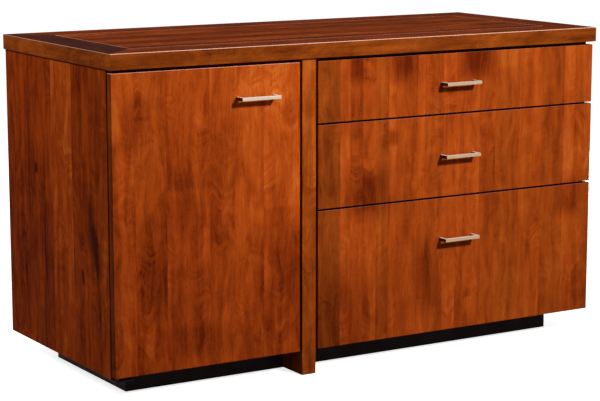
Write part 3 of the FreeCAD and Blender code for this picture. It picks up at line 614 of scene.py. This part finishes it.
def bent_bar(name, low, high, thick, along, across, forward):
    """A flat bar with both ends turned square. It reaches across, forward or back, from its middle."""
    start, end = Vector(low), Vector(high)
    if forward:
        end[across] = start[across] + thick
    else:
        start[across] = end[across] - thick
    bar = block(name, start, end)
    first, last = low[along] + thick, high[along] - thick
    for turn in (first, last):
        saw(bar, along_axis(along, turn), along_axis(along, 1.0), keep_both=True)
    inside = end[across] if forward else start[across]
    choose(bar, "FACE", lambda middle, corners: all_on(corners, across, inside)
           and not first < middle[along] < last)
    reach = high[across] - end[across] if forward else low[across] - start[across]
    bpy.ops.mesh.extrude_region_move(TRANSFORM_OT_translate={"value": along_axis(across, reach)})
    bpy.ops.object.mode_set(mode="OBJECT")
    return bar


# ---------------------------------------------------------------- sizes that the frame's boxes don't tell

BOX_BOARD = 15 * MM
STRETCHER_WIDTH = 60 * MM
FILE_RAIL = 3 * MM
PULL_BAR = 8 * MM
SLIDE_SHEET = 1.5 * MM
SLIDE_HEIGHT = 45 * MM
CABINET_LIP = 9.5 * MM
MIDDLE_LIP = 8 * MM
DRAWER_LIP = 7.7 * MM
SLIDE_SCREW_INSET = 45 * MM
WORKTOP_SCREW_INSET = 80 * MM
SHANK_RADIUS = 2 * MM
SCREW_HEAD = 8 * MM
PULL_SCREW_HEAD_HEIGHT = 2 * MM
# A screw's head, the height of its head and its length under the head.
Screw = namedtuple("Screw", "head height length")
SLIDE_SCREW = Screw(SCREW_HEAD, 0.6 * MM, 12.5 * MM)
WORKTOP_SCREW = Screw(SCREW_HEAD, 2.5 * MM, 39 * MM)


# ---------------------------------------------------------------- worktop

def make_rail(side, outward, finish):
    """A worktop rail, mitred at both ends, with a rounded outer arris and a fine flat inside."""
    node = f"worktop_{side}_rail"
    low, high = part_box(node)
    rail = block(f"{node}_mitred", low, high)
    outward = Vector(outward)
    across = X if outward.x else Y
    outer, inner = (high, low) if outward[across] > 0 else (low, high)
    for end, step in ((low, -1), (high, 1)):
        corner = Vector((end.x, end.y, 0))
        corner[across] = outer[across]
        saw(rail, corner, along_axis(1 - across, step) - outward)
    soften(rail, 1.2 * MM, on_edge(Z, high.z, across, inner[across]), 1)
    soften(rail, 1.5 * MM, on_edge(Z, high.z, across, outer[across]), 3)
    soften(rail, 1.0 * MM, on_edge(Z, low.z, across, outer[across]))
    finish_piece(rail, finish, node)


def make_worktop():
    panel = block("worktop_panel_board", TOP_LOW, TOP_HIGH)
    soften(panel, 1.8 * MM, lambda middle, ends: all_on(ends, Z, TOP_HIGH.z), 1)
    finish_piece(panel, PANEL_WOOD, "worktop_panel")
    make_rail("front", (0, -1, 0), FRONT_RAIL_WOOD)
    make_rail("back", (0, 1, 0), BACK_RAIL_WOOD)
    make_rail("left", (-1, 0, 0), LEFT_RAIL_WOOD)
    make_rail("right", (1, 0, 0), RIGHT_RAIL_WOOD)


# ---------------------------------------------------------------- boards

def make_board(node, finish, arris=0.5 * MM, segments=2):
    """A plain board with every edge eased."""
    board = block(f"{node}_board", *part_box(node))
    soften(board, arris, segments=segments)
    finish_piece(board, finish, node)


def end_boxes(node, axis, thick):
    """Where the two outer boards of a pair lie, at both ends of their node's box."""
    low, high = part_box(node)
    first, last = Vector(high), Vector(low)
    first[axis] = low[axis] + thick
    last[axis] = high[axis] - thick
    return [(low, first), (last, high)]


def make_pair(node, axis, thick, finish):
    """Two like boards that face each other."""
    first, last = end_boxes(node, axis, thick)
    board = block(f"{node}_board", *first)
    soften(board, 0.8 * MM)
    finish_piece(joined(f"{node}_boards", [board, copied(board, last[0] - first[0])]), finish, node)


def make_file_rails():
    """Three flat rails for hanging files, with rounded top edges."""
    low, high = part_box("file_rails")
    rail = block("file_rail", low, (low.x + FILE_RAIL, high.y, high.z))
    soften(rail, 1 * MM, lambda middle, ends: all_on(ends, Z, high.z), 3)
    far = along_axis(X, high.x - FILE_RAIL - low.x)
    rails = joined("file_rail_bars", [rail, copied(rail, far / 2), copied(rail, far)])
    finish_piece(rails, ZINC, "file_rails")


def make_boards():
    make_board("door_panel", DOOR_WOOD, 0.8 * MM, 3)
    for name in DRAWER_NAMES:
        make_board(f"{name}_front", DRAWER_WOOD, 0.8 * MM, 3)
        make_board(f"{name}_bottom", BOX_BOTTOM_WOOD)
        make_pair(f"{name}_sides", X, BOX_BOARD, BOX_SIDE_WOOD)
        make_pair(f"{name}_ends", Y, BOX_BOARD, BOX_END_WOOD)
    make_board("centre_partition", POST_WOOD, 0.8 * MM, 3)
    for side in ("left", "right"):
        make_board(f"{side}_side_panel", SIDE_WOOD, 0.8 * MM)
        for part in ("front", "back", "end"):
            make_board(f"{side}_plinth_{part}", PLINTH_PAINT)
    for bay in ("cupboard", "drawer_bay"):
        make_board(f"{bay}_floor", SHELF_WOOD)
        make_board(f"{bay}_back", BACK_WOOD)
        make_pair(f"{bay}_stretchers", Y, STRETCHER_WIDTH, SHELF_WOOD)
    make_board("shelf", SHELF_WOOD, 1 * MM)


# ---------------------------------------------------------------- pulls, slides and screws

def give_copy(model, part, name, form, finish):
    """Gives a drawer its copy of a part that is modelled in the top drawer's place."""
    node = f"{name}_{part}"
    piece = copied(model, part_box(node)[0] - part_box(f"top_drawer_{part}")[0])
    piece.name = f"{node}_{form}"
    finish_piece(piece, finish, node)


def discard(*models):
    for model in models:
        bpy.data.objects.remove(model)


def model_pull(name, node):
    """A square bar with its ends turned back to the wood, its edges just broken."""
    pull = bent_bar(name, *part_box(node), PULL_BAR, X, Y, True)
    soften_sharp(pull, 0.6 * MM)
    return pull


def model_members(name, left, right, forward):
    """Like slide members on both sides of a drawer, rolled from sheet with round bends.

    `left` and `right` are their boxes, and `forward` says how the left one opens.
    """
    strips = [bent_bar(name, *left, SLIDE_SHEET, Z, X, forward),
              bent_bar(name, *right, SLIDE_SHEET, Z, X, not forward)]
    for strip in strips:
        soften_sharp(strip, 0.6 * MM)
    return joined(name, strips)


def slide_middle(name):
    """How high the middle of a drawer's slides is."""
    low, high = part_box(f"{name}_middle_members")
    return (low.z + high.z) / 2


def make_slides():
    """The drawers' slides are alike. Each has fixed, middle and drawer members, left and right."""
    low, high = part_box("cabinet_slide_members")
    start = slide_middle("top_drawer")
    bottom, top = start - SLIDE_HEIGHT / 2, start + SLIDE_HEIGHT / 2
    fixed = model_members("fixed_members", ((low.x, low.y, bottom), (low.x + CABINET_LIP, high.y, top)),
                          ((high.x - CABINET_LIP, low.y, bottom), (high.x, high.y, top)), True)
    middle = model_members("middle_members", *end_boxes("top_drawer_middle_members", X, MIDDLE_LIP), True)
    inner = model_members("drawer_members", *end_boxes("top_drawer_slide_members", X, DRAWER_LIP), False)
    fixed_copies = []
    for name in DRAWER_NAMES:
        give_copy(middle, "middle_members", name, "rolled", ZINC)
        give_copy(inner, "slide_members", name, "rolled", ZINC)
        fixed_copies.append(copied(fixed, along_axis(Z, slide_middle(name) - start)))
    finish_piece(joined("cabinet_slide_members_rolled", fixed_copies), ZINC, "cabinet_slide_members")
    discard(fixed, middle, inner)


def model_screw(screw):
    """A screw with a low rounded head and a cross recess. Its head's underside is at the origin."""
    head, height, length = screw
    tip = 0.15
    bpy.ops.object.select_all(action="DESELECT")
    bpy.ops.mesh.primitive_cylinder_add(vertices=24, radius=head / 2, depth=height,
                                        location=(0, 0, height / 2))
    model = bpy.context.object
    bpy.ops.object.transform_apply(location=True, rotation=True, scale=True)
    soften(model, 0.85 * height, lambda middle, ends: all_on(ends, Z, height), 3)
    slot = (0.27 * head, 0.07 * head)
    for wide, deep in (slot, slot[::-1]):
        cutter = block("driver", (-wide, -deep, 0.4 * height), (wide, deep, 2 * height))
        take(model)
        bpy.ops.object.modifier_add(type="BOOLEAN")
        model.modifiers[0].object = cutter
        bpy.ops.object.modifier_apply(modifier=model.modifiers[0].name)
        bpy.data.objects.remove(cutter)
    choose(model, "FACE", lambda middle, corners: all_on(corners, Z, 0.0))
    bpy.ops.mesh.inset(thickness=head / 2 - SHANK_RADIUS)
    for share in (1 - tip, tip):
        bpy.ops.mesh.extrude_region_move(TRANSFORM_OT_translate={"value": (0, 0, -share * length)})
    bpy.ops.transform.resize(value=(tip, tip, 1.0))
    bpy.ops.object.mode_set(mode="OBJECT")
    return model


def set_screws(name, screw, spots):
    """Copies of one screw: at each spot a head's underside, and the way its head faces."""
    model = model_screw(screw)
    copies = []
    for spot, facing in spots:
        copy = copied(model)
        copy.location = spot
        copy.rotation_euler = Vector(facing).to_track_quat("Z", "Y").to_euler()
        copies.append(copy)
    discard(model)
    heads = joined(name, copies)
    bpy.ops.object.transform_apply(location=True, rotation=True, scale=True)
    return heads


def set_pull_screws(name, node):
    low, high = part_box(node)
    y, z = high.y - PULL_SCREW_HEAD_HEIGHT, (low.z + high.z) / 2
    return set_screws(name, Screw(SCREW_HEAD, PULL_SCREW_HEAD_HEIGHT, y - low.y),
                      [((x, y, z), (0, 1, 0)) for x in (low.x + SCREW_HEAD / 2, high.x - SCREW_HEAD / 2)])


def make_pulls():
    """The drawers' pulls are alike, and so are the screws that hold them."""
    finish_piece(model_pull("door_pull_bar", "door_pull"), DOOR_PULL_METAL, "door_pull")
    finish_piece(set_pull_screws("door_pull_screws_heads", "door_pull_screws"), ZINC, "door_pull_screws")
    pull = model_pull("drawer_pull", "top_drawer_pull")
    screws = set_pull_screws("drawer_pull_screws", "top_drawer_pull_screws")
    for name in DRAWER_NAMES:
        give_copy(pull, "pull", name, "bar", DRAWER_PULL_METAL)
        give_copy(screws, "pull_screws", name, "heads", ZINC)
    discard(pull, screws)


def make_slide_screws():
    low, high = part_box("cabinet_slide_members")
    rows = (low.y + SLIDE_SCREW_INSET, (low.y + high.y) / 2, high.y - SLIDE_SCREW_INSET)
    spots = []
    for name in DRAWER_NAMES:
        for y in rows:
            spots.append(((low.x + SLIDE_SHEET, y, slide_middle(name)), (1, 0, 0)))
            spots.append(((high.x - SLIDE_SHEET, y, slide_middle(name)), (-1, 0, 0)))
    finish_piece(set_screws("slide_screws_heads", SLIDE_SCREW, spots), ZINC, "slide_screws")


def make_worktop_screws():
    spots = []
    for bay in ("cupboard", "drawer_bay"):
        low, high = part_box(f"{bay}_stretchers")
        for x in (low.x + WORKTOP_SCREW_INSET, high.x - WORKTOP_SCREW_INSET):
            for y in (low.y + STRETCHER_WIDTH / 2, high.y - STRETCHER_WIDTH / 2):
                spots.append(((x, y, low.z), (0, 0, -1)))
    finish_piece(set_screws("worktop_screws_heads", WORKTOP_SCREW, spots), ZINC, "worktop_screws")


def make_catch():
    """The magnetic catch: a moulded body with its magnets set back behind the front."""
    low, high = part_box("door_catch")
    rim, recess = 3 * MM, 2 * MM
    body = block("door_catch_body", low, high)
    choose(body, "FACE", lambda middle, corners: all_on(corners, Y, low.y))
    bpy.ops.mesh.inset(thickness=rim)
    bpy.ops.mesh.extrude_region_move(TRANSFORM_OT_translate={"value": (0, recess, 0)})
    bpy.ops.object.mode_set(mode="OBJECT")
    soften_sharp(body, 0.8 * MM)
    finish_piece(body, CATCH_PLASTIC, "door_catch")


def make_fittings():
    make_pulls()
    make_slides()
    make_slide_screws()
    make_worktop_screws()
    make_catch()
    make_file_rails()


# ---------------------------------------------------------------- CAD parts that keep their shape

KEPT = {
    "plinth_blocks": BOX_END_WOOD, "shelf_pins": ZINC, "catch_plate": ZINC, "door_bushes": BUSH_PLASTIC,
    "top_pivot_bracket": ENAMEL, "bottom_pivot_bracket": ENAMEL, "bracket_screws": ENAMEL,
}


def finish_kept_parts():
    for node, finish in KEPT.items():
        for slot in NODES[node].material_slots:
            slot.material = finish.material


# ---------------------------------------------------------------- floor, light and camera

WHITE = (1.0, 1.0, 1.0, 1.0)
# How strongly the world's plain light fills the shadows.
FILL = 0.28
FLOOR_GLOW = 0.78


def camera_sees(tree):
    """1 for rays from the camera, a mirror or glass, 0 for light that bounces on the object."""
    path = add(tree, "LightPath").outputs
    seen = add(tree, "Math", (path["Is Camera Ray"], path["Is Glossy Ray"]), operation="MAXIMUM")
    return add(tree, "Math", (seen, path["Is Transmission Ray"]), operation="MAXIMUM")


def make_floor():
    """A white sweep, which keeps the shadow. Bounced light sees it as dark grey."""
    bpy.ops.object.select_all(action="DESELECT")
    bpy.ops.mesh.primitive_plane_add(size=60, location=(0, 0, -0.5 * MM))
    floor = bpy.context.object
    floor.name = "floor"
    material, tree = new_material("white_floor")
    seen = camera_sees(tree)
    shader = add(tree, "BsdfPrincipled", {
        "Base Color": add(tree, "Mix", {FACTOR: seen, UNDER: linear("#606060"), OVER: WHITE},
                          data_type="RGBA"),
        "Roughness": 0.9, "Specular IOR Level": 0.0, "Emission Color": WHITE,
        "Emission Strength": add(tree, "Math", (seen, FLOOR_GLOW), operation="MULTIPLY")})
    add(tree, "OutputMaterial", (shader,))
    floor.data.materials.append(material)


def make_world():
    world = bpy.data.worlds.new("studio")
    bpy.context.scene.world = world
    world.use_nodes = True
    tree = world.node_tree
    tree.nodes.clear()
    strength = add(tree, "MapRange", (camera_sees(tree), 0.0, 1.0, FILL, 1.0), **SMOOTH)
    add(tree, "OutputWorld", (add(tree, "Background", {"Color": WHITE, "Strength": strength}),))


def hang_lamp(light, at, target):
    lamp = bpy.data.objects.new(light.name, light)
    bpy.context.scene.collection.objects.link(lamp)
    lamp.location = at
    lamp.rotation_euler = (Vector(target) - Vector(at)).to_track_quat("-Z", "Y").to_euler()


def make_key():
    """The main lamp: high, a little to the right, with a soft-edged beam that fades towards the floor."""
    light = bpy.data.lights.new("key", "SPOT")
    light.energy = 620
    light.shadow_soft_size = 0.2
    light.spot_size = math.radians(48)
    light.spot_blend = 1.0
    hang_lamp(light, at=(0.95, -3.2, 2.45), target=(0.0, -0.27, 0.85))


def make_soft_box(name, at, target, size, power):
    light = bpy.data.lights.new(name, "AREA")
    light.size = size
    light.energy = power
    hang_lamp(light, at, target)


def make_camera():
    """Above the top, looking down a little from the front left."""
    look_down, turn = 9.87, 31.47
    data = bpy.data.cameras.new("camera")
    data.sensor_width = 36
    data.lens = 115.76
    camera = bpy.data.objects.new("camera", data)
    bpy.context.scene.collection.objects.link(camera)
    camera.location = (-2.4244, -3.9231, 1.1528)
    camera.rotation_euler = (math.radians(90 - look_down), 0, math.radians(-turn))
    bpy.context.scene.camera = camera


make_worktop()
make_boards()
make_fittings()
finish_kept_parts()
make_floor()
make_world()
make_key()
make_soft_box("left", at=(-2.0, 0.3, 1.75), target=(-0.66, 0.0, 0.45), size=0.9, power=24)
make_soft_box("back_right", at=(2.2, 2.6, 0.4), target=(0.0, 0.1, 0.36), size=0.65, power=80)
make_camera()
bpy.context.scene.view_settings.view_transform = "Standard"
